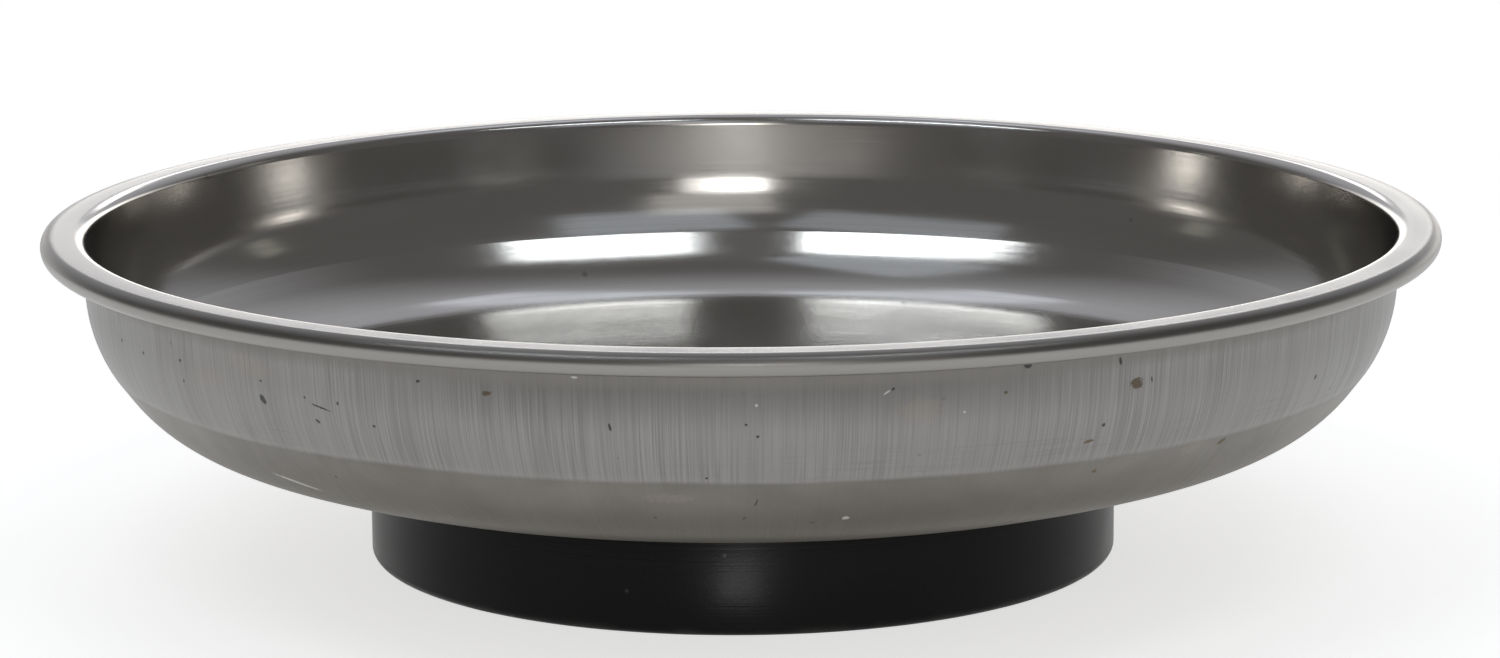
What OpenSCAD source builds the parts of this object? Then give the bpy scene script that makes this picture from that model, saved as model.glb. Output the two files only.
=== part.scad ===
// Round magnetic parts tray: a pressed stainless dish with a rolled rim, standing on
// a ring magnet in a moulded rubber boot. One nut on a stud welded under the dish
// holds the whole base together.
// Millimetres, +Z up, origin on the bench surface at the centre of the base.

/* [Dish] */
// Outer diameter over the rolled rim
tray_d = 150; // [148:0.5:153]
// Height of the rim's crest above the bench
tray_h = 36.3; // [35.5:0.1:38]
// Thickness of the stainless sheet
sheet_t = 0.55; // [0.4:0.05:0.7]
// Radius of the flat floor
floor_r = 45; // [44:0.1:46]
// Slope where the floor starts to rise
apron_start = 7.8; // [7:0.1:9]
// Slope where the floor meets the lower bend
apron_end = 20; // [18:0.5:21]
// Slope of the short straight flare above the lower bend
flare_lean = 53; // [51:0.5:54]
// Change of slope at the crease where the drawn band begins
crease_turn = 4; // [3:0.5:5]
// Slope of the straight upper wall
wall_lean = 85.8; // [84:0.1:87]

/* [Dish bends] */
// Radius from the floor to its rising part
floor_bend = 8; // [6:0.5:10]
// Radius of the gently dished rising part
apron_bend = 62.5; // [60:0.5:65]
// Radius of the lower bend
heel_bend = 15.7; // [14.5:0.1:16.5]
// Radius of the bend between crease and upper wall
wall_bend = 15.1; // [14:0.1:16]

/* [Rim] */
// Radius of the bend from the wall to the rim's flat top
lip_bend = 1.0; // [0.8:0.1:1.2]
// Width of the rim's flat top
lip_flat = 2.35; // [2:0.05:2.6]
// Radius of the rolled outer edge, at the middle of the sheet
curl_bend = 0.9; // [0.8:0.05:1]
// Angle through which the outer edge is rolled under
curl_turn = 195; // [185:1:200]
// Straight end of the rolled edge
curl_end = 0.6; // [0.3:0.1:0.8]

/* [Rubber boot] */
// Height of the dish's floor above the bench
base_h = 11.5; // [11:0.1:12]
// Outer radius of the boot
boot_r = 40.4; // [40:0.1:41]
// Thickness of the boot's side wall
boot_wall = 2.8; // [2.4:0.1:3]
// Thickness of the boot's floor
boot_floor = 2.2; // [2:0.1:2.4]
// Radius of the hole in the boot's floor
boot_hole_r = 17.5; // [17:0.1:18]
// Radius of the rounded bottom edge
boot_edge = 0.9; // [0.6:0.1:1.2]
// Width of the thinned margin that the retaining cup presses on
margin_w = 4.5; // [4:0.1:5]
// Thickness of the thinned margin
margin_t = 1.0; // [0.8:0.1:1]

/* [Magnet and gasket] */
// Outer radius of the ring magnet
magnet_r = 37.3; // [37:0.1:37.4]
// Bore radius of the ring magnet
magnet_bore = 16; // [16:0.1:16.4]
// Chamfer on the ring magnet's edges
magnet_chamfer = 0.5; // [0.3:0.1:0.8]
// Thickness of the gasket between magnet and dish
gasket_t = 0.4; // [0.3:0.1:0.5]
// Outer radius of the gasket
gasket_r = 36; // [34:0.5:36.5]
// Radius of the hole in the gasket
gasket_hole_r = 9; // [8:0.5:12]

/* [Retaining cup] */
// Thickness of the cup's steel
cup_t = 0.8; // [0.7:0.1:0.9]
// Height of the cup's crown, under its steel, above the bench
cup_crown = 5.8; // [5.6:0.1:6]
// Outer radius of the cup's wall, which centres the magnet
cup_wall_r = 15.6; // [15.4:0.1:15.8]
// Outer radius of the cup's flange
cup_flange_r = 21; // [20.5:0.1:21.5]
// Radius of the cup's two bends, at the middle of the sheet
cup_bend = 1.2; // [1:0.1:1.4]
// Slope of the cup's wall
cup_lean = 84; // [80:1:86]

/* [Stud, spring washer and nut] */
// Thread diameter of the stud
thread_d = 6; // [5.8:0.1:6]
// Pitch of the thread
thread_pitch = 1; // [0.8:0.1:1]
// Height of the stud's lower end above the bench
stud_end = 0.7; // [0.6:0.1:0.9]
// Radius of the stud's weld flange
weld_r = 4.5; // [4:0.1:5]
// Thickness of the stud's weld flange
weld_t = 0.9; // [0.7:0.1:1]
// Width of the nut across its flats
nut_flats = 10; // [9.5:0.1:10.5]
// Height of the nut
nut_h = 3.2; // [3:0.1:3.3]
// Outer radius of the spring washer
spring_r = 5.9; // [5.7:0.1:6]
// Thickness of the spring washer
spring_t = 1.6; // [1.5:0.1:1.6]
// Width of the split in the spring washer
spring_gap = 1; // [0.6:0.1:1.2]

/* [Hidden] */

$fn = 180;
fine = 48;           // facets round a small thread or hole
ease = 0.1;          // clearance of a nut or washer on the thread
crease_bend = 0.8;   // radius of the crease
arc_step = 4;        // degrees between points along a bend
hole_r = thread_d / 2 + ease;

magnet_top = base_h - gasket_t;
margin_z = boot_floor - margin_t;
cup_flange_z = margin_z - cup_t;

// One stretch of bent sheet is [length of a straight part, radius, turn of the bend
// after it]. A turn is positive to the left of the direction of travel.

function heading(a) = [cos(a), sin(a)];
function left_of(a) = [-sin(a), cos(a)];

// Points [r, z, heading] along one bend that starts at p with the heading a
function bend(p, a, radius, turn) =
    let (side = sign(turn), centre = p + side * radius * left_of(a),
         n = max(1, ceil(abs(turn) / arc_step)))
    [for (i = [1 : n])
        let (b = a + turn * i / n, q = centre - side * radius * left_of(b))
        [q[0], q[1], b]];

// Points [r, z, heading] along a whole row of stretches, after the starting point
function course(stretches, p, a, k = 0) =
    k == len(stretches) ? [] :
    let (s = stretches[k], q = p + s[0] * heading(a),
         curved = s[2] == 0 ? [] : bend(q, a, s[1], s[2]),
         points = concat(s[0] == 0 ? [] : [[q[0], q[1], a]], curved),
         last = points[len(points) - 1])
    concat(points, course(stretches, [last[0], last[1]], last[2], k + 1));

// The same points moved sideways by d, to the left of the direction of travel
function beside(points, d) = [for (p = points) [p[0], p[1]] + d * left_of(p[2])];

// Closed outline of a sheet of thickness t that follows the points
function sheet(points, t) =
    concat(beside(points, -t / 2), [for (i = [len(points) - 1 : -1 : 0])
        beside(points, t / 2)[i]]);

// The dish, from the centre of its floor out to the rolled edge. The flare and the
// upper wall are the two straight stretches whose lengths give the asked-for size.
function dish_stretches(flare, wall) = [
    [floor_r, floor_bend, apron_start],
    [0, apron_bend, apron_end - apron_start],
    [0, heel_bend, flare_lean - apron_end],
    [flare, crease_bend, crease_turn],
    [0, wall_bend, wall_lean - flare_lean - crease_turn],
    [wall, lip_bend, -wall_lean],
    [lip_flat, curl_bend, -curl_turn],
    [curl_end, 0, 0]];

function dish_points(flare, wall) =
    let (start = [0, base_h + sheet_t / 2])
    concat([[start[0], start[1], 0]], course(dish_stretches(flare, wall), start, 0));

bare = beside(dish_points(0, 0), sheet_t / 2);
short_r = tray_d / 2 - max([for (p = bare) p[0]]);
short_z = tray_h - max([for (p = bare) p[1]]);
spread = sin(wall_lean - flare_lean);
flare_length = (short_r * sin(wall_lean) - short_z * cos(wall_lean)) / spread;
wall_length = (short_z * cos(flare_lean) - short_r * sin(flare_lean)) / spread;

// Stainless dish, one pressed sheet from floor to rolled rim
module dish()
    color([0.62, 0.61, 0.60])
    rotate_extrude()
    polygon(sheet(dish_points(flare_length, wall_length), sheet_t));

// Threaded rod or thread shape: a stack of V-shaped ridges
module thread(z0, z1) {
    depth = 0.6 * thread_pitch;
    crest = thread_d / 2;
    root = crest - depth;
    turns = floor((z1 - z0) / thread_pitch);
    ridges = [for (i = [0 : turns - 1], s = [0, 1])
        [s == 0 ? root : crest, z0 + (i + s / 2) * thread_pitch]];
    rotate_extrude($fn = fine)
    polygon(concat([[0, z0]], ridges, [[root, z0 + turns * thread_pitch], [root, z1], [0, z1]]));
}

// Stud, welded to the underside of the dish by its flange
module weld_stud()
    color([0.70, 0.69, 0.66]) {
        thread(stud_end, base_h - weld_t);
        translate([0, 0, base_h - weld_t]) cylinder(r = weld_r, h = weld_t);
    }

// Thin gasket that seats the magnet against the dish
module seat_gasket()
    color([0.20, 0.20, 0.20])
    translate([0, 0, magnet_top])
    linear_extrude(gasket_t)
    difference() {
        circle(r = gasket_r);
        circle(r = gasket_hole_r);
    }

// Ferrite ring magnet with chamfered edges
module ring_magnet()
    color([0.25, 0.25, 0.27])
    rotate_extrude()
    polygon([
        [magnet_bore, boot_floor + magnet_chamfer],
        [magnet_bore + magnet_chamfer, boot_floor],
        [magnet_r - magnet_chamfer, boot_floor],
        [magnet_r, boot_floor + magnet_chamfer],
        [magnet_r, magnet_top - magnet_chamfer],
        [magnet_r - magnet_chamfer, magnet_top],
        [magnet_bore + magnet_chamfer, magnet_top],
        [magnet_bore, magnet_top - magnet_chamfer]]);

// Half of the boot's cross-section; the flat top of its wall bears on the dish's floor
module boot_section() {
    pocket_r = boot_r - boot_wall;
    margin_r = boot_hole_r + margin_w;
    difference() {
        translate([boot_hole_r, 0]) square([boot_r - boot_hole_r, base_h]);
        translate([0, boot_floor]) square([pocket_r, base_h]);
        square([margin_r, margin_z]);
        translate([boot_r - boot_edge, 0]) square(boot_edge);
    }
    translate([boot_r - boot_edge, boot_edge]) intersection() {
        circle(r = boot_edge, $fn = fine);
        translate([0, -boot_edge]) square(boot_edge);
    }
}

// Moulded rubber boot that holds the magnet and stands on the bench
module rubber_boot()
    color([0.10, 0.10, 0.10])
    rotate_extrude()
    boot_section();

// Pressed steel cup that centres the magnet and clamps the boot's margin
module retaining_cup() {
    crown_z = cup_crown + cup_t / 2;
    flange_z = cup_flange_z + cup_t / 2;
    drop = crown_z - flange_z;
    bend_drop = 2 * cup_bend * (1 - cos(cup_lean));
    slope = (drop - bend_drop) / sin(cup_lean);
    wall_mid_r = cup_wall_r - cup_t / 2;
    crown_end = wall_mid_r - cup_bend * sin(cup_lean) - slope * cos(cup_lean);
    wall_foot_r = crown_end + 2 * cup_bend * sin(cup_lean) + slope * cos(cup_lean);
    start = [hole_r, crown_z];
    stretches = [
        [crown_end - hole_r, cup_bend, -cup_lean],
        [slope, cup_bend, cup_lean],
        [cup_flange_r - wall_foot_r, 0, 0]];
    color([0.74, 0.72, 0.66])
    rotate_extrude()
    polygon(sheet(concat([[start[0], start[1], 0]], course(stretches, start, 0)), cup_t));
}

// Split spring washer between cup and nut
module spring_washer()
    color([0.45, 0.45, 0.46])
    translate([0, 0, cup_crown - spring_t])
    difference() {
        cylinder(r = spring_r, h = spring_t, $fn = fine);
        translate([0, 0, -ease]) cylinder(r = hole_r, h = spring_t + 2 * ease, $fn = fine);
        translate([spring_r / 2 + ease, 0, spring_t / 2])
            rotate([30, 0, 0]) cube([spring_r, spring_gap, 3 * spring_t], center = true);
    }

// Thin hexagon nut on the stud, with chamfered corners
module hex_nut() {
    corner_r = nut_flats / 2 / cos(30);
    chamfer = (corner_r - nut_flats / 2) * tan(30);
    color([0.74, 0.72, 0.66])
    translate([0, 0, cup_crown - spring_t - nut_h])
    difference() {
        intersection() {
            cylinder(r = corner_r, h = nut_h, $fn = 6);
            rotate_extrude($fn = fine) polygon([
                [0, 0], [nut_flats / 2, 0], [corner_r, chamfer],
                [corner_r, nut_h - chamfer], [nut_flats / 2, nut_h], [0, nut_h]]);
        }
        translate([0, 0, -ease]) cylinder(r = hole_r, h = nut_h + 2 * ease, $fn = fine);
    }
}

dish();
weld_stud();
seat_gasket();
ring_magnet();
rubber_boot();
retaining_cup();
spring_washer();
hex_nut();
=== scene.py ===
# %% [markdown]
# # A magnetic parts tray
# Small screws and fittings are tipped into this shallow stainless dish, and a ring magnet
# under it keeps them there. The dish is one pressed sheet with a rolled rim. It stands on a
# black rubber boot, and one nut on a welded stud holds dish, magnet and boot together.
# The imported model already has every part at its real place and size. This lesson starts from
# it, turns the parts that show into smooth meshes on a lathe, and gives each its finish.

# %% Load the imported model
import math
import bpy
from mathutils import Matrix, Vector


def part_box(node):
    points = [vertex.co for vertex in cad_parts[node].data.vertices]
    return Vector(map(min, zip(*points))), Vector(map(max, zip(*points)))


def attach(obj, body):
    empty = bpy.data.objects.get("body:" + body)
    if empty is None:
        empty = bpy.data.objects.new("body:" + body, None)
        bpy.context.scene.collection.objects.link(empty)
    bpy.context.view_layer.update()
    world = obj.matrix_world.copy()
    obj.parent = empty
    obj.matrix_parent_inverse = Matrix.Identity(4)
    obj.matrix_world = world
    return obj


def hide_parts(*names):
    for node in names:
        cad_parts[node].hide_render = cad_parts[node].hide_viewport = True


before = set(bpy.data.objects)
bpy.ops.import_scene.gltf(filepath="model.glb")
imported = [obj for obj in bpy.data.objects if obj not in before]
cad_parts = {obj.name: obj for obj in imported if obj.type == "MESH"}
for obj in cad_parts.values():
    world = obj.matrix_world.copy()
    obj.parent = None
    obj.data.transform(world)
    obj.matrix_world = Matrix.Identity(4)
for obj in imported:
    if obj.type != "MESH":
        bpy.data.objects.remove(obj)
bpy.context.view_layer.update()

MM = 0.001
tray_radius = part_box("dish")[1].x
rim_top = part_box("dish")[1].z
floor_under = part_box("dish")[0].z
print("tray", round(tray_radius / MM, 2), "mm in radius and", round(rim_top / MM, 2), "mm high")

# %% [markdown]
# ## The camera
# The tray is looked at from just above its rim, as it stands at arm's length on a bench. A
# long lens from half a metre away keeps the ellipse of the rim flat and calm. The camera's
# own axes are built from three turns: down, round, and a slight roll of the hand.

# %% Place the camera
LENS_MM = 120.1
EYE = Vector((0.0, -0.532, 0.130))
LOOK_DOWN = 0.197
LOOK_ROUND = 0.0017
HAND_ROLL = -0.0066

forward = Vector((
    math.sin(LOOK_ROUND) * math.cos(LOOK_DOWN),
    math.cos(LOOK_ROUND) * math.cos(LOOK_DOWN),
    -math.sin(LOOK_DOWN)))
level_right = Vector((math.cos(LOOK_ROUND), -math.sin(LOOK_ROUND), 0.0))
level_up = level_right.cross(forward)
right = math.cos(HAND_ROLL) * level_right + math.sin(HAND_ROLL) * level_up
up = -math.sin(HAND_ROLL) * level_right + math.cos(HAND_ROLL) * level_up

bpy.ops.object.camera_add(location=EYE)
camera = bpy.context.object
camera.name = "view_camera"
camera.data.lens = LENS_MM
camera.data.sensor_width = 36.0
camera.rotation_mode = "QUATERNION"
camera.rotation_quaternion = Matrix((right, up, -forward)).transposed().to_quaternion()
bpy.context.scene.camera = camera
bpy.context.scene.view_settings.view_transform = "Standard"
print("camera", round((EYE - Vector((0, 0, rim_top))).length, 3), "m from the rim's centre")

# %% [markdown]
# ## A lathe made of edit-mode steps
# Every part of the tray is round, so each starts as half of its cross-section. A plane is
# merged down to one point, the point is extruded from place to place along the outline, and
# the finished outline is spun right round the Z axis. A mesh built vertex by vertex would
# give the same shape, but these are the steps that a person makes by hand.

# %% Spin an outline into a round mesh
ROUND_STEPS = 256
SAME_POINT = 1e-6


def deselect_all():
    """Leaves nothing selected, so that the next operator acts on its own piece only."""
    bpy.ops.object.select_all(action="DESELECT")


def draw_outline(name, outline):
    """A new object whose mesh is a chain of edges through outline's (radius, height) points."""
    deselect_all()
    bpy.ops.mesh.primitive_plane_add(size=MM, location=(0, 0, 0))
    piece = bpy.context.object
    piece.name = name
    bpy.ops.object.mode_set(mode="EDIT")
    bpy.ops.mesh.select_all(action="SELECT")
    bpy.ops.mesh.merge(type="CENTER")
    bpy.ops.transform.translate(value=(outline[0][0], 0, outline[0][1]))
    for (r0, z0), (r1, z1) in zip(outline, outline[1:]):
        bpy.ops.mesh.extrude_vertices_move(
            TRANSFORM_OT_translate={"value": (r1 - r0, 0, z1 - z0)})
    bpy.ops.object.mode_set(mode="OBJECT")
    return piece


def lathe(name, outline, steps=ROUND_STEPS):
    """Spins an outline right round Z, and closes the seam and the pole."""
    piece = draw_outline(name, outline)
    bpy.ops.object.mode_set(mode="EDIT")
    bpy.ops.mesh.select_all(action="SELECT")
    bpy.ops.mesh.spin(steps=steps, angle=2 * math.pi, center=(0, 0, 0), axis=(0, 0, 1))
    bpy.ops.mesh.select_all(action="SELECT")
    bpy.ops.mesh.remove_doubles(threshold=SAME_POINT)
    bpy.ops.mesh.normals_make_consistent(inside=False)
    bpy.ops.object.mode_set(mode="OBJECT")
    print(name, "spun:", len(piece.data.polygons), "faces")
    return piece


def apply_modifiers(piece):
    """Applies the piece's modifiers in order, as the Apply button does."""
    deselect_all()
    piece.select_set(True)
    bpy.context.view_layer.objects.active = piece
    for name in [m.name for m in piece.modifiers]:
        bpy.ops.object.modifier_apply(modifier=name)


def thicken(piece, sheet):
    """Gives an open face a sheet's thickness, on the side that it doesn't look to."""
    solid = piece.modifiers.new("sheet_thickness", "SOLIDIFY")
    solid.thickness = sheet
    solid.offset = -1.0
    solid.use_even_offset = True
    return solid


def round_edges(piece, name, width, segments, degrees):
    """Rounds the edges that turn by more than the given angle."""
    edge = piece.modifiers.new(name, "BEVEL")
    edge.width = width
    edge.segments = segments
    edge.limit_method = "ANGLE"
    edge.angle_limit = math.radians(degrees)


def smooth(piece, degrees=30):
    """Shades the piece smooth, but keeps edges sharper than the given angle."""
    deselect_all()
    piece.select_set(True)
    bpy.context.view_layer.objects.active = piece
    bpy.ops.object.shade_smooth_by_angle(angle=math.radians(degrees))


def face_up(piece):
    """Flips an open sheet if the faces nearest to its axis look down."""
    inner = min(piece.data.polygons, key=lambda f: math.hypot(f.center.x, f.center.y))
    if inner.normal.z < 0:
        bpy.ops.object.mode_set(mode="EDIT")
        bpy.ops.mesh.select_all(action="SELECT")
        bpy.ops.mesh.flip_normals()
        bpy.ops.object.mode_set(mode="OBJECT")


# %% [markdown]
# ## Outlines from bent sheet
# A pressed dish is easiest to describe as a strip of metal that is bent as it goes: so far
# straight, then round a bend of some radius through some angle. The helper below walks along
# such a strip and returns its middle line. Moving the points sideways by half the sheet's
# thickness gives the face that is wanted.

# %% Walk along a bent strip
ARC_STEP = 2.5


def leftward(heading):
    """The direction to the left of a heading in degrees, in the plane of radius and height."""
    return Vector((-math.sin(math.radians(heading)), math.cos(math.radians(heading))))


def along(heading):
    """The direction of a heading in degrees, in the plane of radius and height."""
    return Vector((math.cos(math.radians(heading)), math.sin(math.radians(heading))))


def walk(stretches, start):
    """(point, heading) along stretches of (straight length, bend radius, turn in degrees)."""
    point, heading = Vector(start), 0.0
    course = [(point.copy(), heading)]
    for length, radius, turn in stretches:
        if length:
            point = point + length * along(heading)
            course.append((point.copy(), heading))
        if turn:
            side = math.copysign(1, turn)
            centre = point + side * radius * leftward(heading)
            count = math.ceil(abs(turn) / ARC_STEP)
            for i in range(1, count + 1):
                angle = heading + turn * i / count
                course.append((centre - side * radius * leftward(angle), angle))
            point, heading = course[-1][0].copy(), heading + turn
    return course


def beside(course, distance):
    """The walked points, moved sideways to the left by distance."""
    return [tuple(p + distance * leftward(h)) for p, h in course]


# %% [markdown]
# ## The dish
# On the real tray one disc of stainless sheet is drawn over a punch and its edge is rolled
# under. Its polished face is the inside, the flat of the rim and the outside of the roll; the
# other face only shows as the outer wall. So the polished face is spun first, and a Solidify
# modifier gives it the sheet's thickness and the second face its own material. The rolled
# edge ends in a true cut edge, which a dish cut from a solid block would not have.

# %% Spin the dish
SHEET = 0.55 * MM
FLOOR_RADIUS = 45 * MM
APRON_START, APRON_END = 7.8, 20.0
FLARE_LEAN, WALL_LEAN, CREASE_TURN = 53.0, 85.8, 4.0
FLOOR_BEND, APRON_BEND, HEEL_BEND = 8 * MM, 62.5 * MM, 15.7 * MM
CREASE_BEND, WALL_BEND = 0.8 * MM, 15.1 * MM
RIM_BEND, RIM_FLAT = 1.0 * MM, 2.35 * MM
ROLL_BEND, ROLL_TURN, ROLL_END = 0.9 * MM, 195.0, 0.6 * MM
FLOOR_RINGS = 0, 8, 16, 24, 32, 40


def dish_course(flare, wall):
    """The middle of the dish's sheet, with these lengths of straight flare and upper wall."""
    return walk([
        (FLOOR_RADIUS, FLOOR_BEND, APRON_START),
        (0, APRON_BEND, APRON_END - APRON_START),
        (0, HEEL_BEND, FLARE_LEAN - APRON_END),
        (flare, CREASE_BEND, CREASE_TURN),
        (0, WALL_BEND, WALL_LEAN - FLARE_LEAN - CREASE_TURN),
        (wall, RIM_BEND, -WALL_LEAN),
        (RIM_FLAT, ROLL_BEND, -ROLL_TURN),
        (ROLL_END, 0, 0)], (0.0, floor_under + SHEET / 2))


# The two straight lengths follow from the tray's radius and height.
bare_face = beside(dish_course(0, 0), SHEET / 2)
short_out = tray_radius - max(r for r, z in bare_face)
short_up = rim_top - max(z for r, z in bare_face)
lean_a, lean_b = math.radians(FLARE_LEAN), math.radians(WALL_LEAN)
spread = math.sin(lean_b - lean_a)
flare_length = (short_out * math.sin(lean_b) - short_up * math.cos(lean_b)) / spread
wall_length = (short_up * math.cos(lean_a) - short_out * math.sin(lean_a)) / spread
polished_face = beside(dish_course(flare_length, wall_length), SHEET / 2)
floor_rings = [(r * MM, polished_face[0][1]) for r in FLOOR_RINGS]
print("straight flare", round(flare_length / MM, 2), "mm")
print("straight wall", round(wall_length / MM, 2), "mm")

dish = lathe("pressed_dish", floor_rings + polished_face[1:])
face_up(dish)
for face in ("polished", "drawn"):
    bpy.ops.object.material_slot_add()
under_face = thicken(dish, SHEET)
under_face.material_offset = 1
under_face.material_offset_rim = 1

# %% [markdown]
# ## The rubber boot
# The boot is one moulding: a side wall that grips the magnet, a floor that the tray stands on,
# and a thinner margin round a hole in the middle. Its outline is a closed loop, so spinning it
# gives a solid at once. A Bevel modifier softens its edges, as a mould does.

# %% Spin the boot
boot_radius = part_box("rubber_boot")[1].x
BOOT_WALL, BOOT_FLOOR = 2.8 * MM, 2.2 * MM
BOOT_HOLE, MARGIN_WIDTH, MARGIN_THICK = 17.5 * MM, 4.5 * MM, 1.0 * MM
EDGE_ROUND = 0.9 * MM

pocket_radius = boot_radius - BOOT_WALL
bottom_edge = [
    (boot_radius - EDGE_ROUND + EDGE_ROUND * math.cos(math.radians(a)),
     EDGE_ROUND + EDGE_ROUND * math.sin(math.radians(a)))
    for a in range(-90, 1, 10)]
boot_outline = (
    [(pocket_radius, floor_under), (pocket_radius, BOOT_FLOOR), (BOOT_HOLE, BOOT_FLOOR),
     (BOOT_HOLE, BOOT_FLOOR - MARGIN_THICK),
     (BOOT_HOLE + MARGIN_WIDTH, BOOT_FLOOR - MARGIN_THICK), (BOOT_HOLE + MARGIN_WIDTH, 0)]
    + bottom_edge
    + [(boot_radius, floor_under), (pocket_radius, floor_under)])
boot = lathe("moulded_boot", boot_outline)
round_edges(boot, "mould_radius", 0.18 * MM, 3, 40)
apply_modifiers(boot)

# %% [markdown]
# ## The fixings in the recess
# Turn the tray over and the boot's hole shows a pressed cup, a split washer and a thin nut on
# the stud's end. The cup is bent sheet, like the dish. The nut is a hexagon that a turned
# outline trims at its corners, and the thread is a ridge that the Screw modifier winds up.

# %% Press the retaining cup
CUP_SHEET = 0.8 * MM
CUP_BEND, CUP_LEAN = 1.2 * MM, 84.0
CUP_STEPS = 160
cup_low, cup_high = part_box("retaining_cup")
stud_radius = 3.0 * MM
HOLE_RADIUS = stud_radius + 0.1 * MM
cup_drop = cup_high.z - cup_low.z - CUP_SHEET
lean = math.radians(CUP_LEAN)
cup_slope = (cup_drop - 2 * CUP_BEND * (1 - math.cos(lean))) / math.sin(lean)
cup_bends = CUP_BEND * math.sin(lean)
CUP_WALL_RADIUS = 15.6 * MM
crown_end = CUP_WALL_RADIUS - CUP_SHEET / 2 - cup_bends - cup_slope * math.cos(lean)
wall_foot = crown_end + 2 * cup_bends + cup_slope * math.cos(lean)
cup_course = walk([
    (crown_end - HOLE_RADIUS, CUP_BEND, -CUP_LEAN),
    (cup_slope, CUP_BEND, CUP_LEAN),
    (cup_high.x - wall_foot, 0, 0)], (HOLE_RADIUS, cup_high.z - CUP_SHEET / 2))
cup = lathe("pressed_cup", beside(cup_course, CUP_SHEET / 2), CUP_STEPS)
face_up(cup)
thicken(cup, CUP_SHEET)
round_edges(cup, "punched_edge", 0.1 * MM, 2, 60)
apply_modifiers(cup)

# %% [markdown]
# The stud is a turned core with a flat flange that is welded to the dish. Its thread is one
# small triangle that the Screw modifier winds up round the core, which is how a real thread
# differs from a stack of rings. The two ends of the ridge are filled, so it stays closed.

# %% Turn the stud and wind its thread
stud_low, stud_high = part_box("weld_stud")
PITCH = 1.0 * MM
THREAD_DEPTH = 0.6 * PITCH
FLANGE_THICK = 0.9 * MM
END_CHAMFER = 0.5 * MM
STUD_STEPS, WIND_STEPS = 64, 40

flange_under = stud_high.z - FLANGE_THICK
core_radius = stud_radius - THREAD_DEPTH
stud = lathe("turned_stud", [
    (0, stud_low.z), (core_radius - END_CHAMFER / 2, stud_low.z),
    (core_radius, stud_low.z + END_CHAMFER / 2), (core_radius, flange_under),
    (stud_high.x - END_CHAMFER / 2, flange_under), (stud_high.x, flange_under + END_CHAMFER / 2),
    (stud_high.x, stud_high.z), (0, stud_high.z)], STUD_STEPS)

ridge_root = core_radius - 0.05 * MM
ridge_low = stud_low.z + 0.2 * MM
ridge = draw_outline("thread_ridge", [
    (ridge_root, ridge_low), (stud_radius, ridge_low + PITCH * 0.45),
    (ridge_root, ridge_low + PITCH * 0.9), (ridge_root, ridge_low)])
bpy.ops.object.mode_set(mode="EDIT")
bpy.ops.mesh.select_all(action="SELECT")
bpy.ops.mesh.remove_doubles(threshold=SAME_POINT)
bpy.ops.object.mode_set(mode="OBJECT")
winding = ridge.modifiers.new("thread_winding", "SCREW")
winding.axis = "Z"
winding.screw_offset = PITCH
winding.iterations = int((flange_under - ridge_low) / PITCH) - 1
winding.steps = winding.render_steps = WIND_STEPS
apply_modifiers(ridge)
bpy.ops.object.mode_set(mode="EDIT")
bpy.ops.mesh.select_all(action="DESELECT")
bpy.ops.mesh.select_non_manifold()
bpy.ops.mesh.fill()
bpy.ops.mesh.select_all(action="SELECT")
bpy.ops.mesh.normals_make_consistent(inside=False)
bpy.ops.object.mode_set(mode="OBJECT")
deselect_all()
ridge.select_set(True)
stud.select_set(True)
bpy.context.view_layer.objects.active = stud
bpy.ops.object.join()
print("stud with its thread:", len(stud.data.polygons), "faces")

# %% [markdown]
# A spring washer is a square wire bent into one turn. So its section is a small plane that
# is spun most of the way round, and the gap stays open.

# %% Bend the spring washer
washer_low, washer_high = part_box("spring_washer")
wire_high = washer_high.z - washer_low.z
wire_wide = washer_high.x - HOLE_RADIUS
wire_middle = (washer_high.x + HOLE_RADIUS) / 2
SPLIT_WIDTH = 1.0 * MM
SPLIT_SLANT = math.radians(30)
WASHER_STEPS = 72

half_gap = math.asin(SPLIT_WIDTH / 2 / math.cos(SPLIT_SLANT) / wire_middle)
deselect_all()
bpy.ops.mesh.primitive_plane_add(
    size=1.0, rotation=(math.radians(90), 0, 0),
    location=(wire_middle, 0, (washer_low.z + washer_high.z) / 2))
washer = bpy.context.object
washer.name = "split_washer"
washer.scale = (wire_wide, wire_high, 1.0)
bpy.ops.object.transform_apply(location=True, rotation=True, scale=True)
washer.rotation_euler.z = half_gap
bpy.ops.object.transform_apply(location=False, rotation=True, scale=False)
bpy.ops.object.mode_set(mode="EDIT")
bpy.ops.mesh.select_all(action="SELECT")
bpy.ops.mesh.spin(
    steps=WASHER_STEPS, angle=-(2 * math.pi - 2 * half_gap), center=(0, 0, 0), axis=(0, 0, 1))
bpy.ops.object.mode_set(mode="OBJECT")
print("washer spans x to", round(max(v.co.x for v in washer.data.vertices) / MM, 2), "mm")

# %% [markdown]
# The two cut ends lean the same way, because the wire is sheared off at a slant. So their
# upper corners are pushed one way and their lower corners the other way.

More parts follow.
